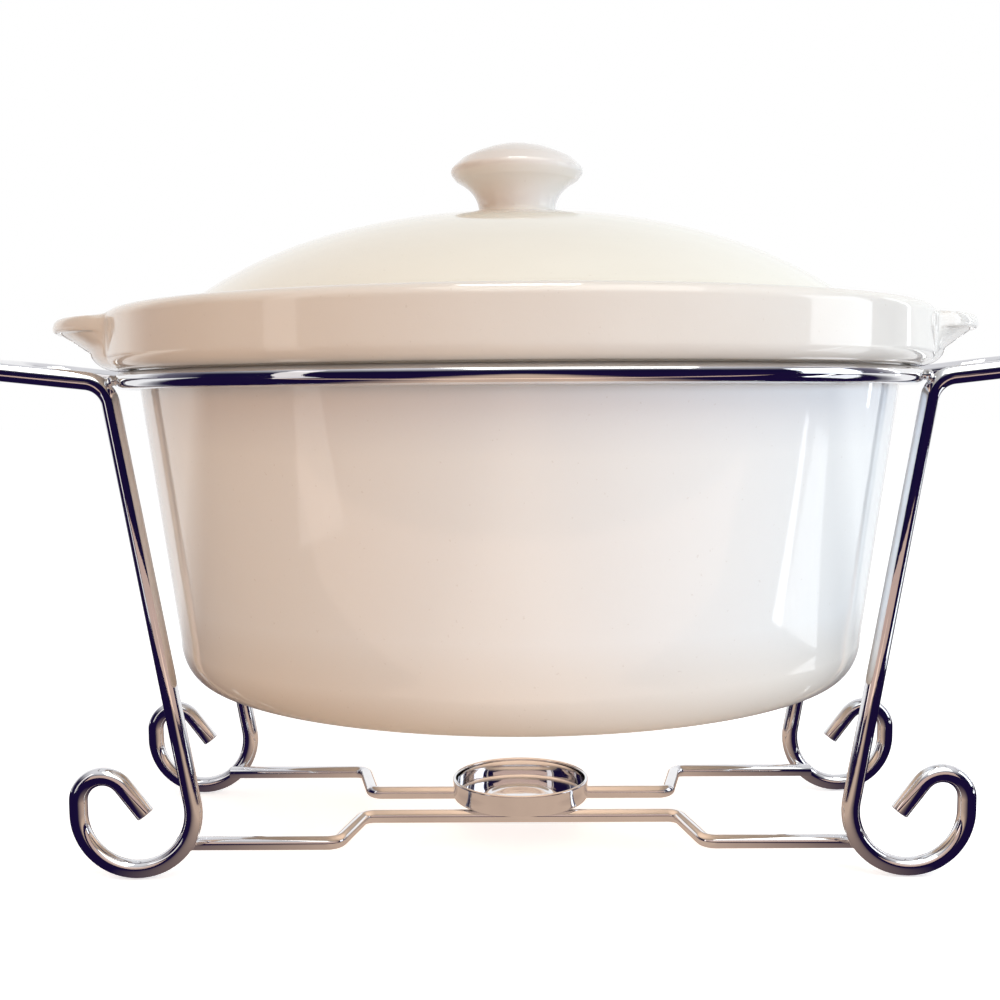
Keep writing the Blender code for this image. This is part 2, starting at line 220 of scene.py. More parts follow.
KNOB_EDGE_ROUND = 1.8 * MM
KNOB_EDGE_TURN = (52, -50)
KNOB_CAP_FALL = 5.6 * MM
KNOB_CAP_SHARE = 0.93

# Fineness of the turned pieces.
TURN_STEPS = 256
EAR_STEP = 0.35
PLAIN_STEP = 1.25
EAR_SPAN = 32.0
HAND_WOBBLE = 0.12 * MM
WOBBLE_WAVES = 16
POT_SEED = 3
LID_SEED = 7


# ---------------------------------------------------------------- camera, floor and light

CAMERA_PLACE = Vector((-2.0, -404.0, 137.8)) * MM
CAMERA_YAW = math.radians(0.55)
CAMERA_PITCH = math.radians(-4.53)
CAMERA_ROLL = math.radians(0.40)
CAMERA_LENS = 46.55
CAMERA_SENSOR = 36.0
CAMERA_NEAR = 0.01

# Colours of a room by how far back it lies, from -1 in front of the object to 1 behind it.
LIT_ROOM = (
    (-0.68, (0.016, 0.012, 0.045)),
    (-0.08, (0.30, 0.29, 0.31)),
    (0.60, (0.95, 0.95, 0.97)),
)
LIT_CEILING = (0.62, 0.61, 0.60)
LIT_STRENGTH = 0.86
MIRRORED_ROOM = (
    (0.05, (0.008, 0.005, 0.036)),
    (0.38, (0.16, 0.15, 0.20)),
    (0.60, (1.0, 1.0, 1.0)),
)
MIRRORED_CEILING = (0.78, 0.78, 0.80)
MIRRORED_STRENGTH = 1.0
CEILING_START = 0.30
CEILING_FULL = 0.85

# The table: its own colours, and what the chrome and glaze mirror of it.
FLOOR_RADIUS = 6.0
FLOOR_SEGMENTS = 96
FLOOR_WHITE = (0.93, 0.93, 0.93)
FLOOR_GLOW = 0.60
FLOOR_BOUNCE = (0.62, 0.56, 0.50)
PALE_PATCH = 0.05
PALE_PATCH_END = 0.12
PALE_PATCH_NARROWING = 0.13
PALE_PATCH_COLOUR = (0.60, 0.44, 0.34)
DARK_TABLE = (0.010, 0.005, 0.038)
WHITE_BEHIND = 0.10
WHITE_BEHIND_END = 0.30
WHITE_BEHIND_COLOUR = (0.95, 0.95, 0.96)

LIT_POINT = Vector((0, 0, (POT_LOW.z + LID_HIGH.z) / 2))
CUP_POINT = Vector((0, 0, CUP_BOTTOM))


def add_camera():
    forward = Vector((-math.sin(CAMERA_YAW), math.cos(CAMERA_YAW), math.tan(CAMERA_PITCH))).normalized()
    level_right = forward.cross(Vector((0, 0, 1))).normalized()
    level_up = level_right.cross(forward)
    right = level_right * math.cos(CAMERA_ROLL) - level_up * math.sin(CAMERA_ROLL)
    up = level_up * math.cos(CAMERA_ROLL) + level_right * math.sin(CAMERA_ROLL)
    camera = bpy.data.objects.new("camera", bpy.data.cameras.new("camera"))
    bpy.context.scene.collection.objects.link(camera)
    turn = Matrix((right, up, -forward)).transposed().to_4x4()
    camera.matrix_world = Matrix.Translation(CAMERA_PLACE) @ turn
    camera.data.lens = CAMERA_LENS
    camera.data.sensor_width = CAMERA_SENSOR
    camera.data.clip_start = CAMERA_NEAR
    bpy.context.scene.camera = camera


def mixed_shaders(tree, factor, first, second):
    """The first shader where the factor is 0 and the second where it is 1."""
    node = tree.nodes.new("ShaderNodeMixShader")
    tree.links.new(factor, node.inputs["Fac"])
    tree.links.new(first, node.inputs[1])
    tree.links.new(second, node.inputs[2])
    return node.outputs[0]


def backdrop(tree, stops, ceiling, strength):
    """A room coloured by how far back it lies, under a plain ceiling."""
    where = tree.nodes.new("ShaderNodeTexCoord")
    parts = tree.nodes.new("ShaderNodeSeparateXYZ")
    tree.links.new(where.outputs["Generated"], parts.inputs[0])
    height = tree.nodes.new("ShaderNodeMapRange")
    height.interpolation_type = "SMOOTHSTEP"
    height.inputs["From Min"].default_value = CEILING_START
    height.inputs["From Max"].default_value = CEILING_FULL
    tree.links.new(parts.outputs["Z"], height.inputs["Value"])
    spread = mapped(tree, parts.outputs["Y"], -1.0, 1.0, 0.0, 1.0)
    depth = tree.nodes.new("ShaderNodeValToRGB")
    elements = depth.color_ramp.elements
    while len(elements) < len(stops):
        elements.new(0.5)
    for element, (position, colour) in zip(elements, stops):
        element.position = (position + 1) / 2
        element.color = (*colour, 1)
    tree.links.new(spread, depth.inputs["Fac"])
    light = tree.nodes.new("ShaderNodeBackground")
    light.inputs["Strength"].default_value = strength
    colour = mixed_colour(tree, height.outputs["Result"], depth.outputs["Color"], ceiling)
    tree.links.new(colour, light.inputs["Color"])
    return light.outputs[0]


def add_world():
    """A white studio for the camera. The object is lit by a room that is white behind it and dim in front,
    and what it mirrors is darker still: a navy room with a white wall behind and a pale ceiling."""
    world = bpy.data.worlds.new("studio")
    bpy.context.scene.world = world
    world.use_nodes = True
    tree = world.node_tree
    tree.nodes.clear()
    lighting = backdrop(tree, LIT_ROOM, LIT_CEILING, LIT_STRENGTH)
    mirrored = backdrop(tree, MIRRORED_ROOM, MIRRORED_CEILING, MIRRORED_STRENGTH)
    white = tree.nodes.new("ShaderNodeBackground")
    white.inputs["Color"].default_value = (1, 1, 1, 1)
    path = tree.nodes.new("ShaderNodeLightPath")
    around = mixed_shaders(tree, path.outputs["Is Glossy Ray"], lighting, mirrored)
    seen = mixed_shaders(tree, path.outputs["Is Camera Ray"], around, white.outputs[0])
    output = tree.nodes.new("ShaderNodeOutputWorld")
    tree.links.new(seen, output.inputs["Surface"])


def mirrored_table(tree):
    """The colour of the table in reflections: pale under the stand, dark further out and white behind."""
    where = tree.nodes.new("ShaderNodeTexCoord")
    narrowed = tree.nodes.new("ShaderNodeVectorMath")
    narrowed.operation = "MULTIPLY"
    narrowed.inputs[1].default_value = (1.0, PALE_PATCH_NARROWING, 1.0)
    tree.links.new(where.outputs["Object"], narrowed.inputs[0])
    reach = tree.nodes.new("ShaderNodeVectorMath")
    reach.operation = "LENGTH"
    tree.links.new(narrowed.outputs["Vector"], reach.inputs[0])
    fade = mapped(tree, reach.outputs["Value"], PALE_PATCH, PALE_PATCH_END, 0.0, 1.0)
    table = mixed_colour(tree, fade, PALE_PATCH_COLOUR, DARK_TABLE)
    parts = tree.nodes.new("ShaderNodeSeparateXYZ")
    tree.links.new(where.outputs["Object"], parts.inputs[0])
    behind = mapped(tree, parts.outputs["Y"], WHITE_BEHIND, WHITE_BEHIND_END, 0.0, 1.0)
    return mixed_colour(tree, behind, table, WHITE_BEHIND_COLOUR)


def floor_material():
    """White for the camera, beige for the light that it sends back, and its own picture in reflections."""
    material = bpy.data.materials.new("floor_white")
    material.use_nodes = True
    tree = material.node_tree
    tree.nodes.clear()
    beige = tree.nodes.new("ShaderNodeBsdfDiffuse")
    beige.inputs["Color"].default_value = (*FLOOR_BOUNCE, 1)
    white = tree.nodes.new("ShaderNodeBsdfDiffuse")
    white.inputs["Color"].default_value = (*FLOOR_WHITE, 1)
    glow = tree.nodes.new("ShaderNodeEmission")
    glow.inputs["Color"].default_value = (1, 1, 1, 1)
    glow.inputs["Strength"].default_value = FLOOR_GLOW
    lit = tree.nodes.new("ShaderNodeAddShader")
    tree.links.new(white.outputs[0], lit.inputs[0])
    tree.links.new(glow.outputs[0], lit.inputs[1])
    patch = tree.nodes.new("ShaderNodeEmission")
    tree.links.new(mirrored_table(tree), patch.inputs["Color"])
    path = tree.nodes.new("ShaderNodeLightPath")
    around = mixed_shaders(tree, path.outputs["Is Glossy Ray"], beige.outputs[0], patch.outputs[0])
    seen = mixed_shaders(tree, path.outputs["Is Camera Ray"], around, lit.outputs[0])
    output = tree.nodes.new("ShaderNodeOutputMaterial")
    tree.links.new(seen, output.inputs["Surface"])
    return material


def add_floor():
    """A plain pale table top."""
    shape = bmesh.new()
    bmesh.ops.create_circle(shape, cap_ends=True, radius=FLOOR_RADIUS, segments=FLOOR_SEGMENTS)
    mesh = bpy.data.meshes.new("floor")
    shape.to_mesh(mesh)
    shape.free()
    mesh.materials.append(floor_material())
    floor = bpy.data.objects.new("floor", mesh)
    bpy.context.scene.collection.objects.link(floor)


def soft_panel(name, size, colour, power):
    """A rectangular area light that the camera doesn't see."""
    light = bpy.data.lights.new(name, "AREA")
    light.shape = "RECTANGLE"
    light.size, light.size_y = size
    light.color = colour
    light.energy = power
    panel = bpy.data.objects.new(name, light)
    bpy.context.scene.collection.objects.link(panel)
    panel.visible_camera = False
    return panel


def add_light(
    name, azimuth, distance, height, size, colour, power, mirrored=True, diffuse=True, target=LIT_POINT
):
    """A soft panel that faces the pot. Azimuth 0 is in front of it, 90 on its right and -90 on its left."""
    angle = math.radians(azimuth)
    place = Vector((math.sin(angle) * distance, -math.cos(angle) * distance, height))
    panel = soft_panel(name, size, colour, power)
    panel.location = place
    panel.rotation_euler = (target - place).to_track_quat("-Z", "Y").to_euler()
    panel.visible_glossy = mirrored
    panel.visible_diffuse = diffuse


def add_card(name, azimuth, start, length, width, colour, power):
    """A bright card flat on the table, seen only in reflections, that runs outward from its start."""
    angle = math.radians(azimuth)
    outward = Vector((math.sin(angle), -math.cos(angle), 0))
    card = soft_panel(name, (width, length), colour, power)
    card.location = Vector(start) + outward * length / 2
    card.rotation_euler = (math.pi, 0, angle)
    card.visible_diffuse = False


def add_lights():
    """Soft fills that only shade, warm on the left and cool on the right, an overhead panel that does both,
    and windows, a lamp, a low panel and cards that only mirror."""
    add_light(
        "fill_front", azimuth=-25, distance=1.2, height=0.35,
        size=(1.0, 0.8), colour=(1.0, 0.48, 0.17), power=3.9, mirrored=False,
    )
    add_light(
        "fill_right", azimuth=58, distance=1.2, height=0.22,
        size=(1.0, 0.5), colour=(0.68, 0.84, 1.0), power=10.4, mirrored=False,
    )
    add_light(
        "fill_left", azimuth=-80, distance=1.2, height=0.30,
        size=(0.8, 0.6), colour=(1.0, 0.97, 0.90), power=1.3, mirrored=False,
    )
    add_light(
        "overhead", azimuth=18, distance=0.60, height=1.05,
        size=(1.1, 0.9), colour=(0.97, 1.0, 0.92), power=5.2,
    )
    add_light(
        "window_right", azimuth=83, distance=0.70, height=0.26,
        size=(0.28, 0.40), colour=(0.90, 0.95, 1.0), power=0.7, diffuse=False,
    )
    add_light(
        "window_right_edge", azimuth=114, distance=0.70, height=0.26,
        size=(0.02, 0.40), colour=(0.95, 0.98, 1.0), power=0.10, diffuse=False,
    )
    add_light(
        "window_left", azimuth=-56, distance=0.62, height=0.26,
        size=(0.10, 0.50), colour=(1.0, 0.95, 0.90), power=0.14, diffuse=False,
    )
    add_light(
        "lamp", azimuth=3, distance=0.10, height=1.20,
        size=(0.34, 0.30), colour=(1.0, 1.0, 1.0), power=3.4, diffuse=False,
    )
    add_light(
        "fill_under", azimuth=0, distance=0.0, height=0.03,
        size=(0.10, 0.10), colour=(1.0, 0.80, 0.66), power=0.04, mirrored=False,
    )
    add_light(
        "cup_panel", azimuth=0, distance=0.16, height=0.060,
        size=(0.40, 0.06), colour=(1.0, 0.72, 0.56), power=0.045, diffuse=False, target=CUP_POINT,
    )
    add_card(
        "card_right_edge", azimuth=91.5, start=(0.28, -0.088, 0.004), length=0.50, width=0.02,
        colour=(0.95, 0.98, 1.0), power=0.09,
    )
    add_card(
        "card_right", azimuth=97, start=(0.28, -0.035, 0.003), length=0.50, width=0.09,
        colour=(0.95, 0.98, 1.0), power=0.16,
    )
    add_card(
        "card_left", azimuth=-62, start=(-0.314, -0.239, 0.004), length=0.32, width=0.10,
        colour=(1.0, 0.97, 0.95), power=0.08,
    )


# ---------------------------------------------------------------- materials

# Glaze colours where it lies thin and where it lies full, and colours that change with height: a whiter
# wall, a grey-blue band of painted shade and painted reflection of the ring under the rim, and darker,
# warmer tones at the foot and on the knob.
POT_GLAZE = ((0.78, 0.73, 0.675), (0.815, 0.775, 0.725))
LID_GLAZE = ((0.855, 0.82, 0.725), (0.89, 0.86, 0.765))
WALL_GLAZE = (0.89, 0.885, 0.87)
# Grey-blue painted shade and painted reflection of the ring on the wall under the rim.
UNDER_RIM_PAINTED_SHADE = (0.60, 0.61, 0.68)
# A darker, warmer tone towards the foot of the pot.
WARM_FOOT_TONE = (0.79, 0.71, 0.62)
# A darker, warmer tone on the knob.
WARM_KNOB_TONE = (0.77, 0.715, 0.675)
WALL_GLAZE_FROM = RIM_SEAT - 6 * MM
WALL_GLAZE_TO = RIM_SEAT - 1 * MM
# Heights and strength of the painted shade under the rim.
PAINTED_SHADE_FROM = RIM_SEAT - 22 * MM
PAINTED_SHADE_TO = RIM_SEAT - 5 * MM
PAINTED_SHADE_STRENGTH = 0.40
FOOT_FROM = POT_BASE_Z + 1 * MM
FOOT_TO = POT_CORNER_TOP_Z + 12 * MM
KNOB_FROM = LID_CROWN - 1 * MM
KNOB_TO = LID_CROWN + 4 * MM

# Glaze surface. Clouds and smears are a noise's scale, detail and roughness, and a span is the part of its
# values that is used. Waves, peel and grain are a noise's scale and detail, then its bump's depth and
# strength.
GLAZE_IOR = 1.52
GLAZE_COAT = 0.35
GLAZE_COAT_ROUGHNESS = 0.02
GLAZE_ROUGHNESS = (0.035, 0.085)
GLAZE_CLOUD = (14.0, 3.0, 0.55)
GLAZE_SMEAR = (30.0, 3.0, 0.6)
GLAZE_SMEAR_SPAN = (0.3, 0.7)
GLAZE_WAVE = (55.0, 1.0, 0.0004, 0.10)
GLAZE_PEEL = (480.0, 2.0, 0.00006, 0.10)
PINHOLES = (1500.0, 0.0)
PINHOLE_SPAN = (0.20, 0.26)
PINHOLE_DEPTH = 0.00004
PINHOLE_STRENGTH = 0.25
SPECKS = (900.0, 1.0)
SPECK_SPAN = (0.75, 0.78)
SPECK_COLOUR = (0.42, 0.33, 0.25)
SPECK_STRENGTH = 0.14
CLOUD_SPAN = (0.35, 0.65)

# Chrome surface.
CHROME_TINT = (0.88, 0.88, 0.90)
CHROME_DARKENING = 0.90
CHROME_ROUGHNESS = (0.025, 0.11)
CHROME_CLOUD = (40.0, 3.0, 0.6)
CHROME_SMEAR = (120.0, 4.0, 0.65)
CHROME_SMEAR_SPAN = (0.35, 0.75)
CHROME_WAVE = (210.0, 1.0, 0.0002, 0.12)
CHROME_GRAIN = (2600.0, 2.0, 0.00002, 0.10)


def node_material(name):
    material = bpy.data.materials.new(name)
    material.use_nodes = True
    tree = material.node_tree
    return material, tree, tree.nodes["Principled BSDF"]


def object_noise(tree, scale, detail, roughness=0.5):
    """The value of a noise texture in object space, where a piece's own metres are the coordinates."""
    where = tree.nodes.new("ShaderNodeTexCoord")
    texture = tree.nodes.new("ShaderNodeTexNoise")
    texture.inputs["Scale"].default_value = scale
    texture.inputs["Detail"].default_value = detail
    texture.inputs["Roughness"].default_value = roughness
    tree.links.new(where.outputs["Object"], texture.inputs["Vector"])
    return texture.outputs["Fac"]


def object_height(tree):
    where = tree.nodes.new("ShaderNodeTexCoord")
    parts = tree.nodes.new("ShaderNodeSeparateXYZ")
    tree.links.new(where.outputs["Object"], parts.inputs[0])
    return parts.outputs["Z"]


def mapped(tree, socket, from_low, from_high, to_low, to_high):
    node = tree.nodes.new("ShaderNodeMapRange")
    node.inputs["From Min"].default_value = from_low
    node.inputs["From Max"].default_value = from_high
    node.inputs["To Min"].default_value = to_low
    node.inputs["To Max"].default_value = to_high
    tree.links.new(socket, node.inputs["Value"])
    return node.outputs["Result"]


def mapped_product(tree, first, second):
    node = tree.nodes.new("ShaderNodeMath")
    node.operation = "MULTIPLY"
    tree.links.new(first, node.inputs[0])
    tree.links.new(second, node.inputs[1])
    return node.outputs[0]


def mixed_colour(tree, factor, first, second):
    node = tree.nodes.new("ShaderNodeMix")
    node.data_type = "RGBA"
    tree.links.new(factor, node.inputs["Factor"])
    for key, value in (("A", first), ("B", second)):
        if isinstance(value, tuple):
            node.inputs[key].default_value = (*value, 1)
        else:
            tree.links.new(value, node.inputs[key])
    return node.outputs["Result"]


def bump(tree, height, distance, strength, under=None):
    node = tree.nodes.new("ShaderNodeBump")
    node.inputs["Distance"].default_value = distance
    node.inputs["Strength"].default_value = strength
    tree.links.new(height, node.inputs["Height"])
    if under is not None:
        tree.links.new(under, node.inputs["Normal"])
    return node.outputs["Normal"]


def relief_bump(tree, relief, under=None):
    scale, detail, depth, strength = relief
    return bump(tree, object_noise(tree, scale, detail), depth, strength, under)


def glazed_wall(tree, colour):
    """Runs the glaze whiter down the wall, with a grey-blue band of painted shade and painted reflection of
    the ring under the rim, and turns it darker and warmer towards the foot.
    """
    height = object_height(tree)
    run = mapped(tree, height, WALL_GLAZE_FROM, WALL_GLAZE_TO, 1.0, 0.0)
    colour = mixed_colour(tree, run, colour, WALL_GLAZE)
    # Painted shade and painted reflection of the ring: a grey-blue band on the wall under the rim.
    band = mapped(tree, height, PAINTED_SHADE_FROM, PAINTED_SHADE_TO, 0.0, PAINTED_SHADE_STRENGTH)
    colour = mixed_colour(tree, mapped_product(tree, band, run), colour, UNDER_RIM_PAINTED_SHADE)
    # Darker and warmer towards the foot.
    low = mapped(tree, height, FOOT_FROM, FOOT_TO, 1.0, 0.0)
    return mixed_colour(tree, low, colour, WARM_FOOT_TONE)


def glazed_knob(tree, colour):
    """Turns the colour darker and warmer above the dome."""
    high = mapped(tree, object_height(tree), KNOB_FROM, KNOB_TO, 0.0, 1.0)
    return mixed_colour(tree, high, colour, WARM_KNOB_TONE)


def glaze_material(name, glaze, change):
    """Off-white glaze over stoneware: cloudy in depth, with faint orange peel, pinholes and iron specks. The
    change is the function that varies its colour with height."""
    material, tree, shader = node_material(name)
    cloud = mapped(tree, object_noise(tree, *GLAZE_CLOUD), *CLOUD_SPAN, 0.0, 1.0)
    colour = change(tree, mixed_colour(tree, cloud, *glaze))
    specks = mapped(tree, object_noise(tree, *SPECKS), *SPECK_SPAN, 0.0, SPECK_STRENGTH)
    tree.links.new(mixed_colour(tree, specks, colour, SPECK_COLOUR), shader.inputs["Base Color"])
    smear = mapped(tree, object_noise(tree, *GLAZE_SMEAR), *GLAZE_SMEAR_SPAN, *GLAZE_ROUGHNESS)
    tree.links.new(smear, shader.inputs["Roughness"])
    shader.inputs["IOR"].default_value = GLAZE_IOR
    shader.inputs["Coat Weight"].default_value = GLAZE_COAT
    shader.inputs["Coat Roughness"].default_value = GLAZE_COAT_ROUGHNESS
    normal = relief_bump(tree, GLAZE_PEEL, relief_bump(tree, GLAZE_WAVE))
    pinholes = mapped(tree, object_noise(tree, *PINHOLES), *PINHOLE_SPAN, 0.0, 1.0)
    normal = bump(tree, pinholes, PINHOLE_DEPTH, PINHOLE_STRENGTH, normal)
    tree.links.new(normal, shader.inputs["Normal"])
    return material


def chrome_material(name):
    """Bright plating: nearly a mirror, with fine drawing marks, wiped smears and a little haze."""
    material, tree, shader = node_material(name)
    shader.inputs["Metallic"].default_value = 1.0
    cloud = mapped(tree, object_noise(tree, *CHROME_CLOUD), *CLOUD_SPAN, 0.0, 1.0)
    darker = tuple(CHROME_DARKENING * value for value in CHROME_TINT)
    tree.links.new(mixed_colour(tree, cloud, darker, CHROME_TINT), shader.inputs["Base Color"])
    smear = mapped(tree, object_noise(tree, *CHROME_SMEAR), *CHROME_SMEAR_SPAN, *CHROME_ROUGHNESS)
    tree.links.new(smear, shader.inputs["Roughness"])
    normal = relief_bump(tree, CHROME_GRAIN, relief_bump(tree, CHROME_WAVE))
    tree.links.new(normal, shader.inputs["Normal"])
    return material


# ---------------------------------------------------------------- mesh building


def arc(centre_x, centre_z, radius_x, radius_z, start, end, steps):
    """Points of an elliptical arc in the X-Z plane, angles in degrees from +X."""
    points = []
    for step in range(steps + 1):
        angle = math.radians(start + (end - start) * step / steps)
        points.append((centre_x + radius_x * math.cos(angle), centre_z + radius_z * math.sin(angle)))
    return points


def eased(share):
    """A share from 0 to 1 that starts and ends softly."""
    return share * share * (3 - 2 * share)


def line(start, end, steps):
    """Points after the start up to and with the end of a straight run."""
    points = []
    for step in range(1, steps + 1):
        share = step / steps
        points.append(tuple(a + (b - a) * share for a, b in zip(start, end)))
    return points


def rounded_path(corners):
    """A path through the corners, given as (point, bend radius), with each corner bent to its radius."""
    path = [Vector(corners[0][0])]
    for (before, _), (corner, radius), (after, _) in zip(corners, corners[1:], corners[2:]):
        arriving = (Vector(corner) - Vector(before)).normalized()
        leaving = (Vector(after) - Vector(corner)).normalized()
        turn = arriving.angle(leaving)
        start = Vector(corner) - arriving * radius * math.tan(turn / 2)
        side = (leaving - arriving * arriving.dot(leaving)).normalized()
        steps = max(3, math.ceil(turn / BEND_STEP))
        for step in range(steps + 1):
            angle = turn * step / steps
            point = start + arriving * radius * math.sin(angle) + side * radius * (1 - math.cos(angle))
            if (point - path[-1]).length > SHORTEST_STEP:
                path.append(point)
    path.append(Vector(corners[-1][0]))
    return path


def finished(name, shape, material, body, slot, *nodes):
    """Turns a bmesh into a smooth piece that rides on a body and stands for CAD nodes."""
    bmesh.ops.recalc_face_normals(shape, faces=shape.faces)
    mesh = bpy.data.meshes.new(name)
    shape.to_mesh(mesh)
    shape.free()
    mesh.shade_smooth()
    mesh.materials.append(material)
    piece = bpy.data.objects.new(name, mesh)
    bpy.context.scene.collection.objects.link(piece)
    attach(piece, body)
    if nodes:
        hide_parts(*nodes)


def skin_rings(shape, rings, closed):
    """Quads between following rings of points, each ring closed on itself."""
    count = len(rings)
    for index in range(count if closed else count - 1):
        ring = rings[index]
        following = rings[(index + 1) % count]
        for low in range(len(ring)):
            high = (low + 1) % len(ring)
            shape.faces.new((ring[low], ring[high], following[high], following[low]))


def skin_turned(shape, rings, first_z, last_z):
    """Skins strips of points round the axis, closed at both ends of the profile by a point on the axis."""
    first = shape.verts.new((0, 0, first_z))
    last = shape.verts.new((0, 0, last_z))
    for index, ring in enumerate(rings):
        following = rings[(index + 1) % len(rings)]
        for low in range(len(ring) - 1):
            shape.faces.new((ring[low], ring[low + 1], following[low + 1], following[low]))
        shape.faces.new((first, ring[0], following[0]))
        shape.faces.new((last, following[-1], ring[-1]))


def wire_shape(path, radius, closed=False):
    """A round wire swept along the path. An open one has flat cut ends with a small worn edge."""
    shape = bmesh.new()
    points = list(path)
    count = len(points)
    tangents = []
    for index in range(count):
        after = points[(index + 1) % count] if closed or index < count - 1 else points[index]
        before = points[index - 1] if closed or index > 0 else points[index]
        tangents.append((after - before).normalized())
    side = tangents[0].orthogonal().normalized()
    rings = []
    edge = WORN_EDGE * radius
    bulge = WORN_EDGE_BULGE * edge
    stations = [(point, tangent, radius) for point, tangent in zip(points, tangents)]
    if not closed:
        first, last = stations[0], stations[-1]
        stations[0] = (first[0] + first[1] * edge, first[1], radius)
        stations[-1] = (last[0] - last[1] * edge, last[1], radius)
        stations.insert(0, (first[0], first[1], radius - edge))
        stations.insert(1, (first[0] + first[1] * bulge, first[1], radius - bulge))
        stations.append((last[0] - last[1] * bulge, last[1], radius - bulge))
        stations.append((last[0], last[1], radius - edge))
    for point, tangent, size in stations:
        side = (side - tangent * side.dot(tangent)).normalized()
        other = tangent.cross(side)
        ring = []
        for step in range(WIRE_SIDES):
            angle = 2 * math.pi * step / WIRE_SIDES
            ring.append(shape.verts.new(point + (side * math.cos(angle) + other * math.sin(angle)) * size))
        rings.append(ring)
    skin_rings(shape, rings, closed)
    if not closed:
        for ring, (point, tangent, _) in ((rings[0], stations[0]), (rings[-1], stations[-1])):
            middle = shape.verts.new(point)
            for low in range(WIRE_SIDES):
                shape.faces.new((ring[low], ring[(low + 1) % WIRE_SIDES], middle))
    return shape


def wobble(point, seed):
    """A hand-finished unevenness: a slow inward drift of the surface round the axis."""
    return -HAND_WOBBLE * abs(noise.noise(point * WOBBLE_WAVES + Vector((seed, 0, 0))))


def turned_shape(profile, seed=None):
    """A turned shape from a (radius, height) profile that starts and ends on the axis. A seed wobbles it."""
    shape = bmesh.new()
    rings = []
    for step in range(TURN_STEPS):
        angle = 2 * math.pi * step / TURN_STEPS
        way = Vector((math.cos(angle), math.sin(angle), 0))
        ring = []
        for radius, height in profile[1:-1]:
            point = way * radius + Vector((0, 0, height))
            if seed is not None:
                point += way * wobble(point, seed) * min(1, radius / KNOB_NECK_RADIUS)
            ring.append(shape.verts.new(point))
        rings.append(ring)
    skin_turned(shape, rings, profile[0][1], profile[-1][1])
    return shape


# ---------------------------------------------------------------- stand


def side_wire_path(side):
    """One side of the stand: scroll foot, leg, carrying handle, leg and scroll foot, in one wire."""
    tangent = SCROLL_TOP_RADIUS * math.tan(SCROLL_TAIL_ANGLE / 2)
    tail_corner = Vector((SCROLL_OUTER_X - SCROLL_TOP_RADIUS - tangent, 0, SCROLL_TOP_Z))
    tail_way = Vector((-math.cos(SCROLL_TAIL_ANGLE), 0, -math.sin(SCROLL_TAIL_ANGLE)))
    tail_end = tail_corner + tail_way * (tangent + SCROLL_TAIL)
    loop_radius = (SCROLL_OUTER_X - SCROLL_INNER_X) / 2
    floor_z = SIDE_LOW.z + SIDE_WIRE / 2
    loop_centre = Vector((SCROLL_OUTER_X - loop_radius, 0, floor_z + loop_radius))
    to_top = Vector((LEG_TOP_X, 0, LEG_TOP_Z)) - loop_centre
    lean = math.atan2(to_top.x, to_top.z) + math.asin(loop_radius / to_top.length)
    floor_corner_x = LEG_TOP_X - (LEG_TOP_Z - floor_z) * math.tan(lean)
    half = [
        ((tail_end.x, 0, tail_end.z), 0.0),
        ((tail_corner.x, 0, SCROLL_TOP_Z), SCROLL_TOP_RADIUS),
        ((SCROLL_OUTER_X, 0, SCROLL_TOP_Z), SCROLL_TOP_RADIUS),
        ((SCROLL_OUTER_X, 0, floor_z), loop_radius * MEETING_BENDS),
        ((floor_corner_x, 0, floor_z), loop_radius * MEETING_BENDS),
        ((LEG_TOP_X, 0, LEG_TOP_Z), LEG_BEND_RADIUS),
    ]
    front = [(Vector((side * x, -SIDE_Y, z)), radius) for (x, _, z), radius in half]
    front.append((Vector((side * HANDLE_OUTER_X, -HANDLE_OUTER_Y, HANDLE_OUTER_Z)), HANDLE_BEND_RADIUS))
    rear = [(Vector((point.x, -point.y, point.z)), radius) for point, radius in reversed(front)]
    return rounded_path(front + rear)


def rail_path(facing):
    """A rail at constant height, with an inward jog on each side of the cup."""
    outer_y = facing * (SIDE_Y - SIDE_WIRE / 2 - CAD_GAP - RAIL_WIRE / 2)
    half = [
        (Vector((-RAIL_END_X, outer_y, RAIL_HEIGHT)), 0.0),
        (Vector((-RAIL_JOG_OUTER_X, outer_y, RAIL_HEIGHT)), RAIL_BEND_RADIUS),
        (Vector((-RAIL_JOG_INNER_X, facing * RAIL_INNER_Y, RAIL_HEIGHT)), RAIL_BEND_RADIUS),
    ]
    other = [(Vector((-point.x, point.y, point.z)), radius) for point, radius in reversed(half)]
    return rounded_path(half + other)


def add_stand(chrome):
    for side, name in ((-1, "left_side_wire"), (1, "right_side_wire")):
        shape = wire_shape(side_wire_path(side), SIDE_WIRE / 2)
        finished(name + "_plated", shape, chrome, "stand", "chrome", name)
    for facing, name in ((-1, "front_rail"), (1, "rear_rail")):
        shape = wire_shape(rail_path(facing), RAIL_WIRE / 2)
        finished(name + "_plated", shape, chrome, "stand", "chrome", name)
    circle = []
    for step in range(TURN_STEPS):
        angle = 2 * math.pi * step / TURN_STEPS
        circle.append(Vector((RING_RADIUS * math.cos(angle), RING_RADIUS * math.sin(angle), RING_HEIGHT)))
    shape = wire_shape(circle, RING_WIRE / 2, closed=True)
    finished("top_ring_plated", shape, chrome, "stand", "chrome", "top_ring")


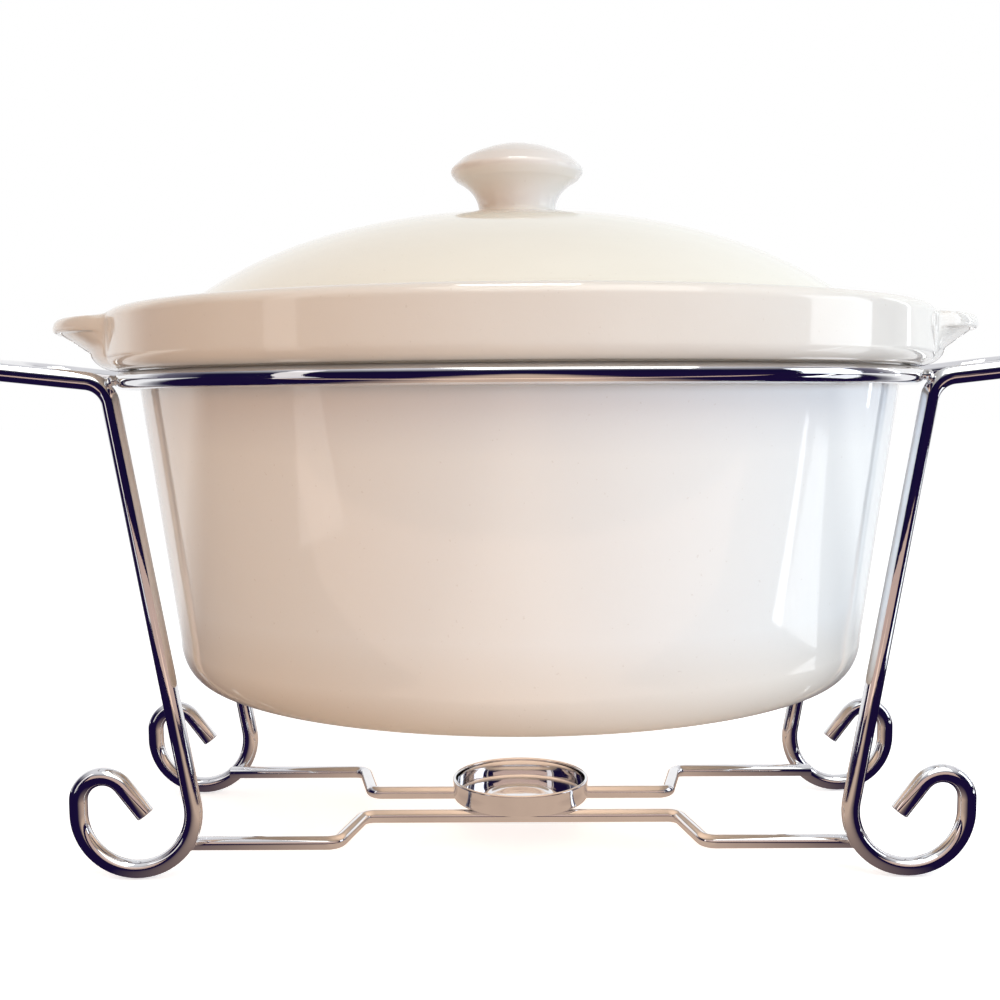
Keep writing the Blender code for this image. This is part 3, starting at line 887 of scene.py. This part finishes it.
def weld_shape(centre, along, across, size, seed):
    """A small irregular weld bead between two wires: a squashed ball with a waist and uneven skin."""
    length, width, height = size
    shape = bmesh.new()
    bmesh.ops.create_icosphere(shape, subdivisions=4, radius=1.0)
    along = Vector(along).normalized()
    across = (Vector(across) - along * along.dot(Vector(across))).normalized()
    third = along.cross(across)
    for vertex in shape.verts:
        ball = vertex.co.copy()
        waist = 1 - WELD_WAIST * math.exp(-((ball.y / WELD_WAIST_WIDTH) ** 2))
        rough = 1 + WELD_ROUGHNESS * noise.noise(ball * WELD_WAVES + Vector((seed, 0, 0)))
        local = Vector((ball.x * length / 2 * waist, ball.y * width / 2, ball.z * height / 2 * waist))
        local *= rough
        vertex.co = Vector(centre) + along * local.x + across * local.y + third * local.z
    return shape


def add_welds(chrome):
    """Beads where the ring crosses the side wires and where the rails meet the scroll feet and the cup."""
    up = (0, 0, 1)
    back = (0, 1, 0)
    count = 0
    for side in (-1, 1):
        for facing in (-1, 1):
            angle = math.atan2(facing * SIDE_Y, side * math.sqrt(RING_RADIUS**2 - SIDE_Y**2))
            outward = Vector((math.cos(angle), math.sin(angle), 0))
            along = Vector((-outward.y, outward.x, 0))
            centre = outward * (RING_RADIUS + RING_WIRE / 2 + RING_WELD_PROUD)
            centre.z = RING_HEIGHT
            shape = weld_shape(centre, along, outward, RING_WELD, count)
            finished(f"ring_weld_{count + 1}", shape, chrome, "stand", "chrome")
            rail_y = facing * (SIDE_Y - SIDE_WIRE / 2)
            centre = Vector((side * (RAIL_END_X - RAIL_WELD_INSET), rail_y, RAIL_HEIGHT))
            along = (side, 0, RAIL_WELD_SLOPE)
            shape = weld_shape(centre, along, back, RAIL_WELD, count + RAIL_WELD_SEED)
            finished(f"rail_weld_{count + 1}", shape, chrome, "stand", "chrome")
            count += 1
    for facing, name in ((-1, "front"), (1, "rear")):
        for side, hand in ((-1, "left"), (1, "right")):
            centre = (side * CUP_WELD_X, facing * RAIL_INNER_Y, RAIL_HEIGHT + RAIL_WIRE / 2)
            shape = weld_shape(centre, (1, 0, 0), up, CUP_WELD, count + CUP_WELD_SEED)
            finished(f"cup_weld_{name}_{hand}", shape, chrome, "stand", "chrome")
            count += 1


def add_cup(chrome):
    """The pressed cup: thin wall with a rolled lip, a small lower corner and a ring pressed in the floor."""
    floor_z = CUP_BOTTOM + CUP_WALL
    lip_z = CUP_TOP - CUP_LIP
    lip_x = CUP_RADIUS - CUP_LIP
    inner = lip_x - CUP_WALL / 2
    outer = lip_x + CUP_WALL / 2
    corner = CUP_CORNER
    profile = [(0.0, floor_z)]
    profile += line((0.0, floor_z), (CUP_RING_START, floor_z), 3)
    profile += [(x * MM, floor_z + rise * MM) for x, rise in CUP_RING_MM]
    profile.append((CUP_RING_END, floor_z))
    profile += line((CUP_RING_END, floor_z), (inner - corner, floor_z), 3)
    profile += arc(inner - corner, floor_z + corner, corner, corner, -90, 0, 8)[1:]
    profile += line((inner, floor_z + corner), (inner, lip_z - CUP_LIP_DROP_INSIDE), 3)
    profile += arc(lip_x, lip_z, CUP_LIP, CUP_LIP, *CUP_LIP_TURN, 14)
    corner = CUP_CORNER + CUP_WALL
    profile += line((outer, lip_z - CUP_LIP_DROP_OUTSIDE), (outer, CUP_BOTTOM + corner), 4)
    profile += arc(outer - corner, CUP_BOTTOM + corner, corner, corner, 0, -90, 8)[1:]
    profile += line((outer - corner, CUP_BOTTOM), (0.0, CUP_BOTTOM), 3)
    shape = turned_shape(profile)
    finished("tealight_cup_pressed", shape, chrome, "stand", "chrome", "tealight_cup")


# ---------------------------------------------------------------- pot and lid


def spaced(points):
    """Running length along a list of points, from 0 to 1."""
    lengths = [0.0]
    for first, second in zip(points, points[1:]):
        lengths.append(lengths[-1] + math.dist(first, second))
    return [length / lengths[-1] for length in lengths]


def rim_profiles():
    """Outer side of the rim, plain and along the middle of an ear, with matching points."""
    tip_x = EAR_TIP_RADIUS - EAR_TIP_TOP_ROUND
    tip_top_z = EAR_TOP_Z - EAR_TOP_FALL
    start = (RIM_RADIUS - RIM_ROUND, RIM_TOP)
    ear_top = [start]
    for step in range(1, 11):
        share = step / 10
        x = RIM_RADIUS - RIM_ROUND + (RIM_ROUND + EAR_STEP_WIDTH) * share
        ear_top.append((x, RIM_TOP - (RIM_TOP - EAR_TOP_Z) * eased(share)))
    ear_top += line(ear_top[-1], (tip_x, tip_top_z), 8)
    shares = spaced(ear_top)
    plain = []
    for index, share in enumerate(shares):
        turn = math.radians(90 - 90 * index / (len(shares) - 1))
        plain.append((
            RIM_RADIUS - RIM_ROUND + RIM_ROUND * math.cos(turn),
            RIM_TOP - RIM_ROUND + RIM_ROUND * math.sin(turn),
        ))

    top_round = EAR_TIP_TOP_ROUND
    low_round = EAR_TIP_BOTTOM_ROUND
    face = arc(tip_x, tip_top_z - top_round, top_round, top_round, 90, 0, 10)
    low_x = EAR_TIP_RADIUS - low_round
    face += arc(low_x, EAR_TIP_BOTTOM_Z + low_round, low_round, low_round, *EAR_TIP_BOTTOM_TURN, 8)
    root = (RIM_RADIUS + EAR_ROOT_WIDTH, EAR_ROOT_Z)
    face += line(face[-1], root, 8)
    band_top = plain[-1][1]
    band = [(RIM_RADIUS, band_top + (EAR_BAND_BOTTOM_Z - band_top) * share) for share in spaced(face)]

    curve = RIM_UNDER_ROUND
    under = arc(RIM_RADIUS - curve, RIM_SEAT + curve, curve, curve, *RIM_UNDER_TURN, 12)
    web = []
    foot = under[-1]
    bend = (RIM_RADIUS + EAR_WEB_BEND * EAR_ROOT_WIDTH, EAR_WEB_BEND_Z)
    for step in range(1, len(under) + 1):
        share = step / len(under)
        a, b, c = (1 - share) ** 2, 2 * share * (1 - share), share**2
        web.append(tuple(a * p + b * q + c * r for p, q, r in zip(root, bend, foot)))
    seat = line(foot, (POT_NECK_RADIUS + POT_NECK_ROUND, RIM_SEAT), 3)
    neck = POT_NECK_ROUND
    seat += arc(POT_NECK_RADIUS + neck, RIM_SEAT - neck, neck, neck, 90, 180, 6)[1:]
    return plain[:-1] + band + under + seat, ear_top[:-1] + face + web + seat


def pot_inner_profile():
    """Inside of the pot, from the middle of its floor up to the top of its rim."""
    floor_z = POT_BASE_Z + POT_FLOOR
    width = POT_CORNER_RADIUS - POT_BASE_RADIUS + INNER_CORNER_EXTRA
    height = POT_CORNER_TOP_Z - POT_BASE_Z + INNER_CORNER_EXTRA
    corner_x = POT_CORNER_RADIUS - POT_WALL - width
    profile = [(0.0, floor_z)]
    profile += line((0.0, floor_z), (corner_x - INNER_FLOOR_INSET, floor_z), 10)
    profile += arc(corner_x, floor_z + height, width, height, -90, 0, 14)
    profile += line(profile[-1], (LID_LEDGE_RADIUS, LID_LEDGE_SLOPE_Z), 14)
    edge = LID_LEDGE_ROUND
    profile += arc(LID_LEDGE_RADIUS + edge, LID_LEDGE_Z - edge, edge, edge, 180, 90, 6)
    corner = LID_RECESS_CORNER
    profile += line(profile[-1], (LID_RECESS_RADIUS - corner, LID_LEDGE_Z), 3)
    profile += arc(LID_RECESS_RADIUS - corner, LID_LEDGE_Z + corner, corner, corner, -90, 0, 4)[1:]
    edge = LID_RECESS_ROUND
    profile += arc(LID_RECESS_RADIUS + edge, RIM_TOP - edge, edge, edge, 180, 90, 8)
    profile += line(profile[-1], (RIM_RADIUS - RIM_ROUND, RIM_TOP), 4)[:-1]
    return profile


def pot_outer_tail():
    """Outer wall of the pot below its rim, down to the middle of its base."""
    top = (POT_NECK_RADIUS, RIM_SEAT - POT_NECK_ROUND)
    profile = line(top, (POT_CORNER_RADIUS, POT_CORNER_TOP_Z), 26)[:-1]
    width = POT_CORNER_RADIUS - POT_BASE_RADIUS
    height = POT_CORNER_TOP_Z - POT_BASE_Z
    profile += arc(POT_BASE_RADIUS, POT_CORNER_TOP_Z, width, height, 0, -90, 16)
    profile += line(profile[-1], (0.0, POT_BASE_Z), 10)
    return profile


def ear_reach(angle):
    """How far an ear stands out at this angle from its middle, from 0 at its root to 1 at its tip."""
    half_length = EAR_TIP_RADIUS - EAR_CENTRE
    along = math.cos(angle) / half_length
    across = math.sin(angle) / EAR_HALF_WIDTH
    a = along**2 + across**2
    b = -2 * EAR_CENTRE * math.cos(angle) / half_length**2
    c = (EAR_CENTRE / half_length) ** 2 - 1
    inside = b * b - 4 * a * c
    if inside <= 0 or math.cos(angle) < 0:
        return 0.0
    stand_out = (-b + math.sqrt(inside)) / (2 * a) - RIM_RADIUS
    softened = (stand_out + math.sqrt(stand_out**2 + EAR_FILLET**2)) / 2
    full = EAR_TIP_RADIUS - RIM_RADIUS
    return max(0.0, softened - EAR_FILLET_CUT) / full


def pot_angles():
    """Angles round the pot in degrees: fine steps across each ear and wider ones between."""
    angles = []
    for middle in (0.0, 180.0):
        fine = round(2 * EAR_SPAN / EAR_STEP)
        for step in range(fine):
            angles.append(middle - EAR_SPAN + 2 * EAR_SPAN * step / fine)
        wide = round((180 - 2 * EAR_SPAN) / PLAIN_STEP)
        for step in range(wide):
            angles.append(middle + EAR_SPAN + (180 - 2 * EAR_SPAN) * step / wide)
    return angles


def add_pot(glaze):
    plain, ear = rim_profiles()
    inner = pot_inner_profile()
    tail = pot_outer_tail()
    shape = bmesh.new()
    rings = []
    for degrees in pot_angles():
        angle = math.radians(degrees)
        reach = ear_reach((angle + math.pi / 2) % math.pi - math.pi / 2)
        lift = eased(min(1.0, EAR_HEIGHT_GAIN * reach))
        rim = []
        for (plain_r, plain_z), (ear_r, ear_z) in zip(plain, ear):
            rim.append((plain_r + (ear_r - plain_r) * reach, plain_z + (ear_z - plain_z) * lift))
        turned = angle + POT_TURN
        way = Vector((math.cos(turned), math.sin(turned), 0))
        ring = []
        for radius, height in (inner + rim + tail)[1:-1]:
            point = way * radius + Vector((0, 0, height))
            ring.append(shape.verts.new(point + way * wobble(point, POT_SEED)))
        rings.append(ring)
    skin_turned(shape, rings, inner[0][1], tail[-1][1])
    finished("casserole_pot_glazed", shape, glaze, "pot", "glazed_ceramic", "casserole_pot")


def dome_height(radius):
    """Height of the lid's outer surface: nearly flat at the crown and steeper towards its edge."""
    share = radius / DOME_SCALE_RADIUS
    return LID_CROWN - DOME_SQUARE_FALL * share**2 - DOME_FOURTH_FALL * share**4


def lid_profile():
    """Knob, boss, dome, flange, locating lip and the hollow inside of the lid."""
    profile = []
    cap_radius = KNOB_RADIUS - KNOB_EDGE_ROUND
    for step in range(15):
        share = KNOB_CAP_SHARE * step / 14
        profile.append((cap_radius * share, KNOB_TOP - KNOB_CAP_FALL * share**2))
    profile += arc(cap_radius, KNOB_EDGE_Z, KNOB_EDGE_ROUND, KNOB_EDGE_ROUND, *KNOB_EDGE_TURN, 12)
    flare_x = KNOB_NECK_RADIUS + KNOB_FLARE_WIDTH
    profile += arc(flare_x, KNOB_NECK_Z, KNOB_FLARE_WIDTH, KNOB_FLARE_HEIGHT, *KNOB_FLARE_TURN, 16)
    boss_top = dome_height(BOSS_RADIUS) + BOSS_HEIGHT
    foot = KNOB_NECK_FILLET
    profile += arc(KNOB_NECK_RADIUS + foot, boss_top + foot, foot, foot, 180, 270, 8)[1:]
    edge = BOSS_HEIGHT
    profile += line(profile[-1], (BOSS_RADIUS - 2 * edge, boss_top), 3)
    profile += arc(BOSS_RADIUS - 2 * edge, boss_top - edge, edge, edge, *BOSS_EDGE_TURN, 5)[1:]
    for step in range(46):
        radius = BOSS_RADIUS + (LID_DOME_RADIUS - BOSS_RADIUS) * step / 45
        profile.append((radius, dome_height(radius)))
    groove_x = LID_DOME_RADIUS + LID_GROOVE_WIDTH * LID_GROOVE_BEND
    profile.append((groove_x, LID_FLANGE_Z + LID_GROOVE_BEND_Z))
    profile.append((LID_DOME_RADIUS + LID_GROOVE_WIDTH, LID_FLANGE_Z))
    edge = LID_FLANGE_ROUND
    profile += line(profile[-1], (LID_FLANGE_RADIUS - edge, LID_FLANGE_Z), 3)
    profile += arc(LID_FLANGE_RADIUS - edge, LID_FLANGE_Z - edge, edge, edge, 90, 0, 8)[1:]
    bottom = LID_LEDGE_Z + CAD_GAP
    edge = LID_FLANGE_UNDER_ROUND
    profile += arc(LID_FLANGE_RADIUS - edge, bottom + edge, edge, edge, 0, -90, 6)
    profile += line(profile[-1], (LID_LIP_OUTER + LID_LIP_FILLET, bottom), 3)
    edge = LID_LIP_ROUND
    profile += arc(LID_LIP_OUTER - edge, LID_LIP_BOTTOM_Z + edge, edge, edge, 0, -90, 6)
    profile += arc(LID_LIP_INNER + edge, LID_LIP_BOTTOM_Z + edge, edge, edge, -90, -180, 6)
    for step in range(31):
        radius = LID_HOLLOW_EDGE * (30 - step) / 30
        wall = LID_WALL * (1 + LID_EDGE_THICKENING * (radius / LID_LIP_INNER) ** 2)
        profile.append((radius, dome_height(radius) - wall))
    return profile


def add_lid(glaze):
    shape = turned_shape(lid_profile(), LID_SEED)
    finished("lid_glazed", shape, glaze, "lid", "glazed_ceramic", "lid")


# ---------------------------------------------------------------- scene


add_camera()
add_world()
add_floor()
add_lights()
bpy.context.scene.view_settings.view_transform = "Standard"

pot_glaze = glaze_material("pot_glaze", POT_GLAZE, glazed_wall)
lid_glaze = glaze_material("lid_glaze", LID_GLAZE, glazed_knob)
bright_chrome = chrome_material("bright_chrome")

add_stand(bright_chrome)
add_welds(bright_chrome)
add_cup(bright_chrome)
add_pot(pot_glaze)
add_lid(lid_glaze)
